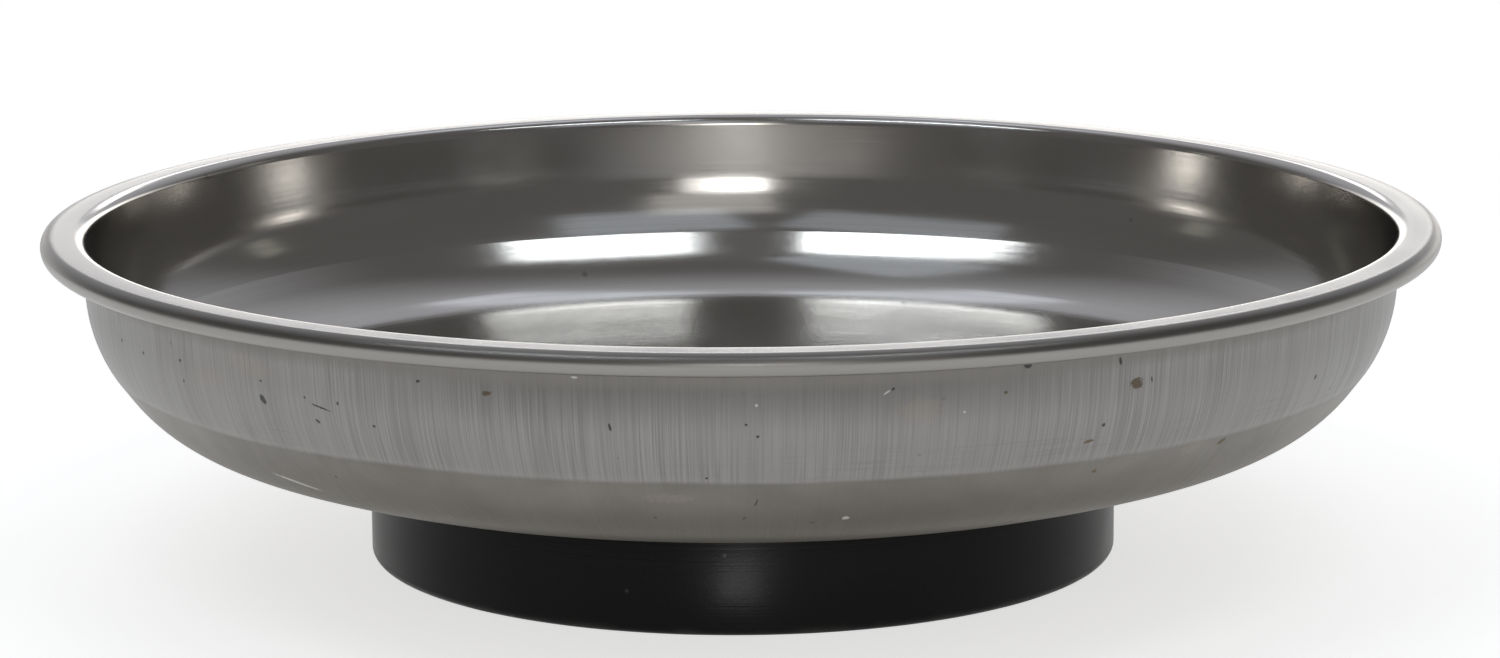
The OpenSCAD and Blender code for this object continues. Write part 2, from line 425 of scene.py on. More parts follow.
# %% Slant the washer's two cut ends
slant_shift = wire_high / 2 * math.tan(SPLIT_SLANT)
end_reach = math.sin(half_gap) * washer_high.x + 0.05 * MM
for level, shift in ((washer_high.z, -slant_shift), (washer_low.z, slant_shift)):
    bpy.ops.object.mode_set(mode="EDIT")
    bpy.ops.mesh.select_all(action="DESELECT")
    bpy.ops.object.mode_set(mode="OBJECT")
    for v in washer.data.vertices:
        v.select = v.co.x > 0 and abs(v.co.y) < end_reach and abs(v.co.z - level) < SAME_POINT
    bpy.ops.object.mode_set(mode="EDIT")
    bpy.ops.transform.translate(value=(0, shift, 0))
    bpy.ops.object.mode_set(mode="OBJECT")
bpy.ops.object.mode_set(mode="EDIT")
bpy.ops.mesh.select_all(action="SELECT")
bpy.ops.mesh.remove_doubles(threshold=SAME_POINT)
bpy.ops.mesh.normals_make_consistent(inside=False)
bpy.ops.object.mode_set(mode="OBJECT")
round_edges(washer, "wire_edge", 0.12 * MM, 2, 50)
apply_modifiers(washer)
print("split washer:", len(washer.data.polygons), "faces")

# %% [markdown]
# The nut starts as a six-sided cylinder with a corner on the X axis. On a real nut the corners
# are turned off at 30 degrees, which leaves the curved edges that everyone knows. Two Boolean
# modifiers do the same work here: the first keeps what lies inside a turned outline, and the
# second bores the hole with its countersinks.

# %% Cut the nut
nut_low, nut_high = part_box("hex_nut")
NUT_FLATS = 10.0 * MM
CORNER_ANGLE = math.radians(30)
COUNTERSINK = 0.45 * MM
NUT_STEPS, BORE_STEPS = 96, 48

nut_corner = NUT_FLATS / 2 / math.cos(CORNER_ANGLE)
corner_drop = (nut_corner - NUT_FLATS / 2) * math.tan(CORNER_ANGLE)
nut_thick = nut_high.z - nut_low.z
deselect_all()
bpy.ops.mesh.primitive_cylinder_add(
    vertices=6, radius=nut_corner, depth=nut_thick,
    location=(0, 0, (nut_low.z + nut_high.z) / 2), rotation=(0, 0, CORNER_ANGLE))
nut = bpy.context.object
nut.name = "hexagon_nut"
bpy.ops.object.transform_apply(location=True, rotation=True, scale=True)
past_corner = nut_corner + MM
past_drop = corner_drop + MM * math.tan(CORNER_ANGLE)
turned_limit = lathe("turned_limit", [
    (0, nut_low.z), (NUT_FLATS / 2, nut_low.z), (past_corner, nut_low.z + past_drop),
    (past_corner, nut_high.z - past_drop), (NUT_FLATS / 2, nut_high.z), (0, nut_high.z)],
    NUT_STEPS)
bore_cutter = lathe("bore_cutter", [
    (0, nut_low.z - MM), (HOLE_RADIUS + COUNTERSINK + MM, nut_low.z - MM),
    (HOLE_RADIUS, nut_low.z + COUNTERSINK), (HOLE_RADIUS, nut_high.z - COUNTERSINK),
    (HOLE_RADIUS + COUNTERSINK + MM, nut_high.z + MM), (0, nut_high.z + MM)], BORE_STEPS)
for cutter, work in ((turned_limit, "INTERSECT"), (bore_cutter, "DIFFERENCE")):
    cut = nut.modifiers.new("cut_with_" + cutter.name, "BOOLEAN")
    cut.object = cutter
    cut.operation = work
    cut.solver = "EXACT"
apply_modifiers(nut)
deselect_all()
for cutter in (turned_limit, bore_cutter):
    cutter.select_set(True)
bpy.ops.object.delete()
print("nut:", len(nut.data.polygons), "faces")

# %% [markdown]
# All the turned and pressed pieces are now shaded smooth, but an edge that turns by more than
# 30 degrees stays crisp. The size of each piece is printed.

# %% Finish the meshes
apply_modifiers(dish)
for piece in (dish, boot, cup, stud, washer, nut):
    smooth(piece)
    low = [round(min(v.co[i] for v in piece.data.vertices) / MM, 2) for i in range(3)]
    high = [round(max(v.co[i] for v in piece.data.vertices) / MM, 2) for i in range(3)]
    print(piece.name, "from", low, "to", high, "mm")

# %% [markdown]
# ## Which body, which finish
# The tray has no moving parts, so every piece rides on the one body. The table also gives the
# imported node that each piece replaces, which is hidden, and the finish that it has in the
# record.

# %% Ride on the body and replace the plain nodes
PIECES = (
    (dish, "dish", "stainless"),
    (boot, "rubber_boot", "rubber"),
    (cup, "retaining_cup", "zinc_plate"),
    (stud, "weld_stud", "stud_steel"),
    (washer, "spring_washer", "spring_steel"),
    (nut, "hex_nut", "zinc_plate"))
for piece, node_name, finish in PIECES:
    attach(piece, "root")
    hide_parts(node_name)
print(len(PIECES), "pieces made,", len(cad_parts) - len(PIECES), "nodes kept as packed")

# %% [markdown]
# ## Tools for the finishes
# Each finish below is a small tree of shader nodes. Short helpers keep the trees easy to
# read. They place a node, do arithmetic, turn a range of values into a soft mask from 0 to 1,
# lay one colour over another, and start a material or a node group.

# %% Helpers that place shader nodes
def put(tree, kind, feeds=None, **choices):
    """Adds a shader node, sets its choices, and fills or links its inputs."""
    made = tree.nodes.new("ShaderNode" + kind)
    for choice, value in choices.items():
        setattr(made, choice, value)
    for socket, source in (feeds or {}).items():
        if isinstance(source, bpy.types.NodeSocket):
            tree.links.new(source, made.inputs[socket])
        else:
            made.inputs[socket].default_value = source
    return made


def calc(tree, operation, *values):
    """The output of a Math node."""
    return put(tree, "Math", dict(enumerate(values)), operation=operation).outputs[0]


def soft_step(tree, value, low, high, start=0.0, end=1.0):
    """Goes smoothly from start to end as value passes from low to high."""
    return put(tree, "MapRange", {
        "Value": value, "From Min": low, "From Max": high, "To Min": start, "To Max": end,
    }, interpolation_type="SMOOTHSTEP").outputs["Result"]


def tint(tree, share, first, second):
    """The first colour, turned into the second by share."""
    return put(tree, "Mix", {0: share, 6: first, 7: second}, data_type="RGBA").outputs[2]


def cover(tree, mask, share, first, second):
    """The first colour, turned into the second where the mask is, by at most share."""
    return tint(tree, calc(tree, "MULTIPLY", mask, share), first, second)


def new_finish(name, **constants):
    """A material with its tree and its shader, whose constant sockets are filled in here."""
    material = bpy.data.materials.new(name)
    material.use_nodes = True
    shader = material.node_tree.nodes["Principled BSDF"]
    for socket, value in constants.items():
        shader.inputs[socket.replace("_", " ")].default_value = value
    return material, material.node_tree, shader


def new_group(name, takes, gives):
    """An empty node group: takes are (label, socket kind, default), gives are labels."""
    group = bpy.data.node_groups.new(name, "ShaderNodeTree")
    for label, kind, value in takes:
        socket = group.interface.new_socket(
            name=label, in_out="INPUT", socket_type="NodeSocket" + kind)
        socket.default_value = value
    for label in gives:
        group.interface.new_socket(name=label, in_out="OUTPUT", socket_type="NodeSocketFloat")
    way_in = group.nodes.new("NodeGroupInput")
    way_out = group.nodes.new("NodeGroupOutput")
    return group, way_in.outputs, way_out.inputs


def use(tree, group, feeds, output):
    """Places a group in a tree and returns one of its outputs."""
    return put(tree, "Group", feeds, node_tree=group).outputs[output]


def give_relief(tree, shader, strength, depth, height):
    """Tilts the shading by a height pattern, depth metres deep at a strength of 1."""
    bump = put(tree, "Bump", {"Strength": strength, "Distance": depth, "Height": height})
    tree.links.new(bump.outputs["Normal"], shader.inputs["Normal"])


def object_place(tree):
    """The Object coordinates of the surface, in metres from the tray's centre."""
    return put(tree, "TexCoord").outputs["Object"]


def radius_and_height(tree):
    """How far the surface is from the Z axis, and how high it is above the bench."""
    x, y, z = put(tree, "SeparateXYZ", {0: object_place(tree)}).outputs
    across = calc(tree, "SQRT", calc(
        tree, "ADD", calc(tree, "MULTIPLY", x, x), calc(tree, "MULTIPLY", y, y)))
    return across, z


print("helpers ready")

# %% [markdown]
# ## Effects that several finishes share
# **Turned lines** are the fine rings that a tool or a polishing wheel leaves round the axis.
# The pattern looks up a noise by radius and height only, so it can't have a seam.

# %% Turned lines
turned_lines, takes, gives = new_group("turned_lines", [
    ("Lines per metre", "Float", 2000.0), ("Unevenness", "Float", 0.3)], ["Line"])
tree = turned_lines
across, height = radius_and_height(tree)
patches = put(tree, "TexNoise", {
    "Vector": object_place(tree), "Scale": 60.0, "Detail": 2.0}).outputs["Fac"]
drift = calc(tree, "MULTIPLY", takes["Unevenness"], patches)
line_place = put(tree, "CombineXYZ", {
    0: calc(tree, "MULTIPLY", across, takes["Lines per metre"]),
    1: calc(tree, "MULTIPLY", height, takes["Lines per metre"]), 2: drift}).outputs[0]
line_noise = put(tree, "TexNoise", {
    "Vector": line_place, "Scale": 1.0, "Detail": 3.0, "Roughness": 0.7}).outputs["Fac"]
tree.links.new(soft_step(tree, line_noise, 0.3, 0.7), gives["Line"])
print("turned_lines:", len(tree.nodes), "nodes")

# %% [markdown]
# **Smudges** are the cloudy patches that hands, oil and wiping leave on every surface.
# **Specks** are small round spots: pits in the steel, or dust on the rubber. A Voronoi
# pattern has one point in each cell, and only a share of the cells gets a speck.

# %% Smudges and specks
smudges, takes, gives = new_group("smudges", [
    ("Patches per metre", "Float", 40.0), ("Edge", "Float", 0.15)], ["Mask"])
tree = smudges
cloud = put(tree, "TexNoise", {
    "Vector": object_place(tree), "Scale": takes["Patches per metre"], "Detail": 4.0,
    "Roughness": 0.6, "Distortion": 0.6}).outputs["Fac"]
tree.links.new(soft_step(
    tree, cloud, calc(tree, "SUBTRACT", 0.5, takes["Edge"]),
    calc(tree, "ADD", 0.5, takes["Edge"])), gives["Mask"])

specks, takes, gives = new_group("specks", [
    ("Cells per metre", "Float", 300.0), ("Size", "Float", 0.2),
    ("Share", "Float", 0.2)], ["Mask"])
tree = specks
cells = put(tree, "TexVoronoi", {
    "Vector": object_place(tree), "Scale": takes["Cells per metre"]}, feature="F1")
pick, grade, _ = put(tree, "SeparateXYZ", {0: cells.outputs["Color"]}).outputs
speck_size = calc(tree, "MULTIPLY", takes["Size"], calc(tree, "ADD", 0.35, grade))
inside = soft_step(
    tree, cells.outputs["Distance"], speck_size, calc(tree, "MULTIPLY", speck_size, 0.6))
chosen = calc(tree, "LESS_THAN", pick, takes["Share"])
tree.links.new(calc(tree, "MULTIPLY", inside, chosen), gives["Mask"])
print("smudges and specks ready")

# %% [markdown]
# ## The polished face
# The inside of the dish and its rolled rim are polished sheet: a metal with a low roughness
# that reflects the room in soft bands. It is not a mirror. The sheet keeps fine rings from
# the polishing wheel and cloudy patches where fingers have been, which change the roughness a
# little, and the rings have a faint relief. The roll's outside is rougher and has painted shade.

# %% Polished steel
polished, tree, shader = new_finish("polished_steel", Metallic=1.0)
rings = use(tree, turned_lines, {"Lines per metre": 2600.0, "Unevenness": 1.5}, "Line")
clouds = use(tree, smudges, {"Patches per metre": 38.0, "Edge": 0.2}, "Mask")
wheel_marks = use(tree, turned_lines, {"Lines per metre": 420.0, "Unevenness": 1.0}, "Line")
fine_dust = use(tree, specks, {
    "Cells per metre": 260.0, "Size": 0.09, "Share": 0.12}, "Mask")
ROLL_BEGINS, ROLL_FULL = 73.3 * MM, 74.2 * MM
steel_light = (0.64, 0.625, 0.60, 1.0)
steel_dull = (0.55, 0.535, 0.51, 1.0)
dust_grey = (0.3, 0.29, 0.27, 1.0)
# Tone of the painted shade on the outside of the roll.
roll_shade_grey = (0.27, 0.26, 0.245, 1.0)
colour = cover(tree, rings, 0.35, steel_light, steel_dull)
colour = cover(tree, clouds, 0.25, colour, steel_dull)
colour = cover(tree, fine_dust, 0.5, colour, dust_grey)
across, height = radius_and_height(tree)
rolled_side = soft_step(tree, across, ROLL_BEGINS, ROLL_FULL)
# Painted shade: the outside of the roll is made darker.
colour = cover(tree, rolled_side, 0.95, colour, roll_shade_grey)
tree.links.new(colour, shader.inputs["Base Color"])
dullness = calc(tree, "ADD", 0.11, calc(tree, "MULTIPLY", clouds, 0.05))
dullness = calc(tree, "ADD", dullness, calc(tree, "MULTIPLY", rings, 0.03))
dullness = calc(tree, "ADD", dullness, calc(tree, "MULTIPLY", rolled_side, 0.2))
tree.links.new(dullness, shader.inputs["Roughness"])
relief = calc(tree, "ADD", calc(tree, "MULTIPLY", wheel_marks, 0.6), rings)
give_relief(tree, shader, 0.03, 0.00005, relief)
print("polished_steel:", len(tree.nodes), "nodes")

# %% [markdown]
# ## The drawn face
# The outside of the wall rubbed along the drawing die, and nobody polished it. Above the
# crease it has fine upright draw lines, and level rubs cross them. Below the crease the metal
# is smoother, and darker and browner towards the boot. A pale band at the crease is a painted
# highlight, a darker band close under the rim is painted shade, and at the front the upper wall
# is darker with painted shade too. Each zone has its own height, so most masks are soft steps
# of the height.

# %% Zones of the drawn face
drawn, tree, shader = new_finish("drawn_steel", Metallic=1.0)
CREASE_HEIGHT = 22.4 * MM
# Heights of the painted shade close under the rim.
UNDER_RIM_SHADE = 31.6 * MM, 33.2 * MM
RUBS_END = 27.5 * MM, 24.5 * MM
# Heights of the painted shade at the front of the upper wall.
FRONT_SHADE_BAND = 27.5 * MM, 33.0 * MM
FLARE_FOOT = 14.5 * MM
across, height = radius_and_height(tree)
x, y, z = put(tree, "SeparateXYZ", {0: object_place(tree)}).outputs
wobble = put(tree, "TexNoise", {
    "Vector": object_place(tree), "Scale": 70.0, "Detail": 2.0}).outputs["Fac"]
level = calc(tree, "ADD", height, calc(tree, "MULTIPLY", wobble, 0.5 * MM))
above = soft_step(tree, level, CREASE_HEIGHT, CREASE_HEIGHT + 0.6 * MM)
# A thin band just above the crease, for a painted highlight.
crease_highlight = calc(tree, "MULTIPLY", above, soft_step(
    tree, level, CREASE_HEIGHT + 1.2 * MM, CREASE_HEIGHT + 0.3 * MM))
under_rim_shade = soft_step(tree, level, *UNDER_RIM_SHADE)
print("zones ready")

# %% [markdown]
# **Draw lines** run up the wall, so the noise is looked up by the direction from the axis,
# not by the angle: the direction comes back to its start after one turn and leaves no seam.
# It is stretched by a large factor round the wall and by a small one up the wall.

# %% Draw lines and level rubs
toward_x = calc(tree, "DIVIDE", x, across)
toward_y = calc(tree, "DIVIDE", y, across)


def streaks(round_wall, up_wall, detail):
    """Noise with this many features per radian round the wall and per metre up it."""
    place = put(tree, "CombineXYZ", {
        0: calc(tree, "MULTIPLY", toward_x, round_wall),
        1: calc(tree, "MULTIPLY", toward_y, round_wall),
        2: calc(tree, "MULTIPLY", height, up_wall)}).outputs[0]
    return put(tree, "TexNoise", {
        "Vector": place, "Scale": 1.0, "Detail": detail, "Roughness": 0.6}).outputs["Fac"]


fine_draw = streaks(400.0, 70.0, 3.0)
broad_draw = streaks(60.0, 40.0, 2.0)
draw_patches = soft_step(tree, streaks(6.0, 60.0, 2.0), 0.35, 0.65)
rub_lines = soft_step(tree, streaks(5.0, 3200.0, 3.0), 0.50, 0.66)
rub_zone = calc(tree, "MULTIPLY", above, soft_step(tree, level, *RUBS_END))
rub_reach = soft_step(tree, streaks(2.6, 20.0, 2.0), 0.42, 0.6)
rubs = calc(tree, "MULTIPLY", calc(tree, "MULTIPLY", rub_lines, rub_zone), rub_reach)
print("draw lines ready")

# %% [markdown]
# **Single marks** are the pits, scratches and rust spots that a used tray has collected. They
# belong at certain places, so the wall is unrolled: one coordinate is the way round the wall
# in metres, the other is the height. A group then tests how far a point is from a mark's
# centre, in a frame that is turned and stretched to the mark's shape.

# %% A group for one mark
one_mark, takes, gives = new_group("one_mark", [
    ("Wall place", "Vector", (0, 0, 0)), ("Centre", "Vector", (0, 0, 0)),
    ("Half size", "Vector", (MM, MM, MM)), ("Turn", "Vector", (0, 0, 0)),
    ("Ragged", "Float", 0.4)], ["Mask"])
rough_edge = put(one_mark, "TexNoise", {
    "Vector": takes["Wall place"], "Scale": 2200.0, "Detail": 2.0}).outputs["Fac"]
in_mark = put(one_mark, "Mapping", {
    "Vector": takes["Wall place"], "Location": takes["Centre"], "Rotation": takes["Turn"],
    "Scale": takes["Half size"]}, vector_type="TEXTURE").outputs[0]
reach = put(one_mark, "VectorMath", {0: in_mark}, operation="LENGTH").outputs["Value"]
reach = calc(one_mark, "ADD", reach, calc(one_mark, "MULTIPLY", calc(
    one_mark, "SUBTRACT", rough_edge, 0.5), calc(one_mark, "MULTIPLY", takes["Ragged"], 4.0)))
one_mark.links.new(soft_step(one_mark, reach, 1.15, 0.75), gives["Mask"])
print("one_mark:", len(one_mark.nodes), "nodes")

# %% [markdown]
# The marks are listed by bearing in degrees (0 is the front, and more is to the right), height
# in millimetres, half length and half width in millimetres, and turn in degrees.

# %% Marks by kind
WALL_RADIUS = 70.0 * MM
DARK_PITS = (
    (-42.1, 27.5, 0.55, 0.38, -35), (-35.7, 27.7, 1.15, 0.10, -12), (-36.3, 26.2, 0.32, 0.15, -35),
    (-64.3, 29.2, 0.28, 0.22, 0), (-59.5, 28.9, 0.25, 0.20, 20), (-52.9, 29.5, 0.22, 0.16, 0),
    (-52.8, 27.4, 0.20, 0.14, 60), (-42.1, 29.4, 0.16, 0.12, 0), (-37.3, 28.5, 0.14, 0.12, 0),
    (-33.9, 28.4, 0.14, 0.20, 0), (-30.6, 26.5, 0.18, 0.14, 0), (-26.1, 31.6, 0.26, 0.14, 10),
    (-10.3, 28.2, 0.14, 0.40, 15), (1.2, 27.4, 0.18, 0.15, 0), (0.3, 28.6, 0.14, 0.12, 0),
    (-2.9, 23.0, 0.15, 0.12, 0), (-7.5, 18.2, 0.20, 0.16, 0), (1.1, 20.1, 0.09, 0.55, -20),
    (0.1, 18.2, 0.25, 0.12, 30), (6.0, 17.5, 0.32, 0.14, 15), (11.7, 31.7, 0.20, 0.13, 35),
    (31.1, 32.5, 0.16, 0.42, 15), (34.3, 30.2, 0.12, 0.30, 10), (30.0, 26.2, 0.22, 0.20, 0),
    (22.7, 33.1, 0.40, 0.28, 0), (55.8, 26.3, 0.30, 0.26, 0), (-37.2, 19.8, 0.20, 0.16, 0))
RUST_SPOTS = (
    (32.8, 30.0, 0.68, 0.60, 0), (-20.3, 30.9, 0.50, 0.22, 5), (28.9, 24.6, 0.65, 0.16, 12),
    (44.6, 21.7, 0.55, 0.32, 20), (30.7, 21.0, 0.32, 0.22, 0), (20.9, 30.6, 0.18, 0.14, 0))
BRIGHT_NICKS = (
    (1.1, 30.5, 0.14, 0.14, 0), (11.2, 31.4, 0.42, 0.08, 35), (-43.8, 17.9, 3.10, 0.18, -10),
    (8.8, 17.9, 0.40, 0.22, 0), (-13.0, 33.0, 0.30, 0.10, 0), (17.5, 29.0, 0.12, 0.10, 0))
SOFT_STAINS = (
    (-43.5, 30.6, 3.40, 1.10, -8), (-49.0, 28.6, 2.60, 1.00, 10), (40.9, 21.9, 1.60, 0.70, 10),
    (14.0, 29.4, 2.20, 1.20, 0), (-6.0, 20.6, 2.50, 0.50, 0))

round_wall = calc(tree, "MULTIPLY", calc(
    tree, "ARCTAN2", x, calc(tree, "MULTIPLY", y, -1.0)), WALL_RADIUS)
wall_place = put(tree, "CombineXYZ", {0: round_wall, 1: height}).outputs[0]


def marks(rows, ragged):
    """One mask with all the marks of a kind."""
    total = 0.0
    for bearing, mark_height, length, width, turn in rows:
        mask = use(tree, one_mark, {
            "Wall place": wall_place,
            "Centre": (math.radians(bearing) * WALL_RADIUS, mark_height * MM, 0),
            "Half size": (length * MM, width * MM, MM),
            "Turn": (0, 0, math.radians(turn)), "Ragged": ragged}, "Mask")
        total = calc(tree, "MAXIMUM", mask, total)
    return total


dark_mask = marks(DARK_PITS, 0.25)
rust_mask = marks(RUST_SPOTS, 0.5)
bright_mask = marks(BRIGHT_NICKS, 0.3)
stain_mask = marks(SOFT_STAINS, 0.6)
print(len(DARK_PITS) + len(RUST_SPOTS) + len(BRIGHT_NICKS) + len(SOFT_STAINS), "marks placed")

# %% [markdown]
# Now the masks are laid over each other: bare metal first, then the draw lines and rubs, then
# the painted highlight at the crease, the painted shade at the front, the stains and the painted
# shade under the rim, and last the rust, pits and nicks.
# Rust isn't metallic at all, and a dirty pit only partly.

# %% Colour of the drawn face
wall_grey = (0.265, 0.260, 0.253, 1.0)
wall_pale = (0.305, 0.30, 0.292, 1.0)
wall_deep = (0.205, 0.20, 0.193, 1.0)
flare_grey = (0.215, 0.205, 0.190, 1.0)
flare_warm = (0.080, 0.069, 0.050, 1.0)
flare_deep = (0.065, 0.055, 0.039, 1.0)
# Tone of the painted shade at the front of the upper wall.
front_shade_grey = (0.135, 0.128, 0.12, 1.0)
stain_brown = (0.30, 0.25, 0.20, 1.0)
# Tone of the painted shade close under the rim.
rim_shade_grey = (0.20, 0.19, 0.175, 1.0)
speck_brown = (0.16, 0.145, 0.13, 1.0)
rust_brown = (0.105, 0.075, 0.040, 1.0)
pit_black = (0.025, 0.024, 0.024, 1.0)
nick_white = (0.80, 0.79, 0.77, 1.0)

line_share = soft_step(tree, fine_draw, 0.30, 0.70)
upper = cover(tree, line_share, 0.9, wall_deep, wall_pale)
upper = cover(tree, draw_patches, 0.55, upper, wall_grey)
upper = tint(tree, calc(tree, "MULTIPLY", soft_step(
    tree, broad_draw, 0.4, 0.75), 0.18), upper, wall_deep)
upper = cover(tree, rubs, 0.45, upper, wall_deep)
mottle = use(tree, smudges, {"Patches per metre": 90.0, "Edge": 0.25}, "Mask")
lower = tint(tree, soft_step(tree, level, CREASE_HEIGHT, FLARE_FOOT), flare_grey, flare_warm)
lower = cover(tree, mottle, 0.3, lower, flare_deep)
colour = tint(tree, above, lower, upper)
# Painted highlight: a pale band just above the crease.
colour = cover(tree, crease_highlight, 0.3, colour, wall_pale)
# Painted shade: the upper wall at the front, between two heights, is made darker.
front_shade = calc(tree, "MULTIPLY", soft_step(
    tree, toward_y, -0.80, -1.0), soft_step(tree, level, *FRONT_SHADE_BAND))
colour = cover(tree, front_shade, 0.75, colour, front_shade_grey)
colour = cover(tree, stain_mask, 0.22, colour, stain_brown)
# Painted shade: a band close under the rim is made darker, more in some places than others.
rim_shade = calc(tree, "MULTIPLY", under_rim_shade, soft_step(tree, broad_draw, 0.2, 0.6, 0.55, 0.95))
colour = tint(tree, rim_shade, colour, rim_shade_grey)
pits = use(tree, specks, {"Cells per metre": 420.0, "Size": 0.11, "Share": 0.10}, "Mask")
colour = cover(tree, pits, 0.55, colour, speck_brown)
colour = cover(tree, rust_mask, 0.9, colour, rust_brown)
colour = cover(tree, dark_mask, 0.88, colour, pit_black)
colour = cover(tree, bright_mask, 0.4, colour, nick_white)
tree.links.new(colour, shader.inputs["Base Color"])

bare = calc(tree, "SUBTRACT", 1.0, calc(tree, "MAXIMUM", rust_mask, calc(
    tree, "MULTIPLY", dark_mask, 0.6)))
tree.links.new(bare, shader.inputs["Metallic"])
dullness = calc(tree, "ADD", 0.47, calc(tree, "MULTIPLY", line_share, -0.06))
dullness = calc(tree, "ADD", dullness, calc(tree, "MULTIPLY", rust_mask, 0.3))
tree.links.new(dullness, shader.inputs["Roughness"])
relief = calc(tree, "ADD", calc(tree, "MULTIPLY", calc(tree, "MULTIPLY", fine_draw, above), 1.0),
              calc(tree, "MULTIPLY", calc(tree, "MAXIMUM", dark_mask, pits), -2.5))
give_relief(tree, shader, 0.25, 0.00004, relief)
print("drawn_steel:", len(tree.nodes), "nodes")

dish.material_slots[0].material = polished
dish.material_slots[1].material = drawn

# %% [markdown]
# ## The rubber boot
# Black moulded rubber is dark because it has almost no diffuse colour, and dull because its
# skin is finely rough. The mould was turned on a lathe, so faint level lines run round the
# side. Dust sits on it in specks, and the bottom edge is scuffed grey where it slides.

# %% Moulded rubber
rubber, tree, shader = new_finish(
    "moulded_rubber", Metallic=0.0, Specular_IOR_Level=0.10)
across, height = radius_and_height(tree)
mould_lines = use(tree, turned_lines, {"Lines per metre": 1500.0, "Unevenness": 0.8}, "Line")
clouds = use(tree, smudges, {"Patches per metre": 55.0, "Edge": 0.2}, "Mask")
dust = use(tree, specks, {"Cells per metre": 500.0, "Size": 0.12, "Share": 0.10}, "Mask")
grain = put(tree, "TexNoise", {
    "Vector": object_place(tree), "Scale": 2600.0, "Detail": 2.0}).outputs["Fac"]
scuff = calc(tree, "MULTIPLY", soft_step(tree, height, 1.3 * MM, 0.1 * MM), soft_step(
    tree, put(tree, "TexNoise", {
        "Vector": object_place(tree), "Scale": 220.0, "Detail": 4.0}).outputs["Fac"], 0.4, 0.65))
colour = tint(tree, clouds, (0.0030, 0.0030, 0.0032, 1.0), (0.0050, 0.0050, 0.0050, 1.0))
colour = cover(tree, dust, 0.5, colour, (0.05, 0.05, 0.047, 1.0))
colour = cover(tree, scuff, 0.5, colour, (0.035, 0.034, 0.032, 1.0))
tree.links.new(colour, shader.inputs["Base Color"])
dullness = calc(tree, "ADD", 0.27, calc(tree, "MULTIPLY", clouds, 0.06))
dullness = calc(tree, "ADD", dullness, calc(tree, "MULTIPLY", scuff, 0.2))
tree.links.new(dullness, shader.inputs["Roughness"])
relief = calc(tree, "ADD", mould_lines, calc(tree, "MULTIPLY", grain, 0.8))
give_relief(tree, shader, 0.35, 0.00003, relief)
boot.data.materials.clear()
boot.data.materials.append(rubber)
print("moulded_rubber:", len(tree.nodes), "nodes")

# %% [markdown]
# ## The small metal parts
# Cup and nut are zinc plated: a bright, slightly bluish metal with a cloudy, faintly yellow
# bloom. The stud is plain turned steel, and the spring washer is dark oiled spring steel. All
# three have the same build: a light and a dark tone, turned lines, clouds and specks. One
# function makes them, each with its own values.

# %% Plated and bare metals
def small_metal(name, light, dark, speck, dullness, lines, line_relief):
    """A metal of two tones with turned lines, clouds of a duller tone, and specks."""
    material, tree, shader = new_finish(name, Metallic=1.0)
    line = use(tree, turned_lines, {"Lines per metre": lines, "Unevenness": 0.8}, "Line")
    cloud = use(tree, smudges, {"Patches per metre": 160.0, "Edge": 0.2}, "Mask")
    spots = use(tree, specks, {"Cells per metre": 700.0, "Size": 0.14, "Share": 0.12}, "Mask")
    colour = cover(tree, cloud, 0.8, light, dark)
    colour = cover(tree, line, 0.25, colour, dark)
    colour = cover(tree, spots, 0.7, colour, speck)
    tree.links.new(colour, shader.inputs["Base Color"])
    rough = calc(tree, "ADD", dullness, calc(tree, "MULTIPLY", cloud, 0.12))
    tree.links.new(rough, shader.inputs["Roughness"])
    give_relief(tree, shader, line_relief, 0.00003, line)
    print(name + ":", len(tree.nodes), "nodes")
    return material


zinc = small_metal(
    "zinc_plate", (0.66, 0.66, 0.64, 1.0), (0.55, 0.53, 0.44, 1.0), (0.20, 0.18, 0.14, 1.0),
    0.26, 1400.0, 0.15)
turned = small_metal(
    "turned_stud_steel", (0.56, 0.55, 0.53, 1.0), (0.42, 0.40, 0.37, 1.0),
    (0.14, 0.09, 0.05, 1.0), 0.30, 3200.0, 0.25)
spring = small_metal(
    "oiled_spring_steel", (0.16, 0.16, 0.17, 1.0), (0.09, 0.085, 0.08, 1.0),
    (0.12, 0.06, 0.03, 1.0), 0.34, 1800.0, 0.15)
for piece, material in ((cup, zinc), (nut, zinc), (stud, turned), (washer, spring)):
    piece.data.materials.clear()
    piece.data.materials.append(material)

# %% [markdown]
# ## The parts inside the boot
# The ring magnet and its gasket are closed in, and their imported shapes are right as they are,
# so they stay and only get a finish. Ferrite is a grey-black ceramic with a dull ground face
# and small chips. The gasket is dark foam with open pores.

# %% Ferrite and foam
def dull_solid(name, light, dark, spot, pore_cells, dullness, relief_depth, lines):
    """A rough, dark solid with clouds of two tones, pores or chips, and ground lines."""
    material, tree, shader = new_finish(name, Metallic=0.0)
    line = use(tree, turned_lines, {"Lines per metre": lines, "Unevenness": 1.2}, "Line")
    cloud = use(tree, smudges, {"Patches per metre": 120.0, "Edge": 0.3}, "Mask")
    pores = use(tree, specks, {"Cells per metre": pore_cells, "Size": 0.3, "Share": 0.5}, "Mask")
    colour = tint(tree, cloud, light, dark)
    colour = tint(tree, pores, colour, spot)
    tree.links.new(colour, shader.inputs["Base Color"])
    tree.links.new(calc(
        tree, "ADD", dullness, calc(tree, "MULTIPLY", line, 0.08)), shader.inputs["Roughness"])
    depth = calc(tree, "SUBTRACT", calc(tree, "MULTIPLY", line, 0.3), pores)
    give_relief(tree, shader, 0.5, relief_depth, depth)
    print(name + ":", len(tree.nodes), "nodes")
    return material


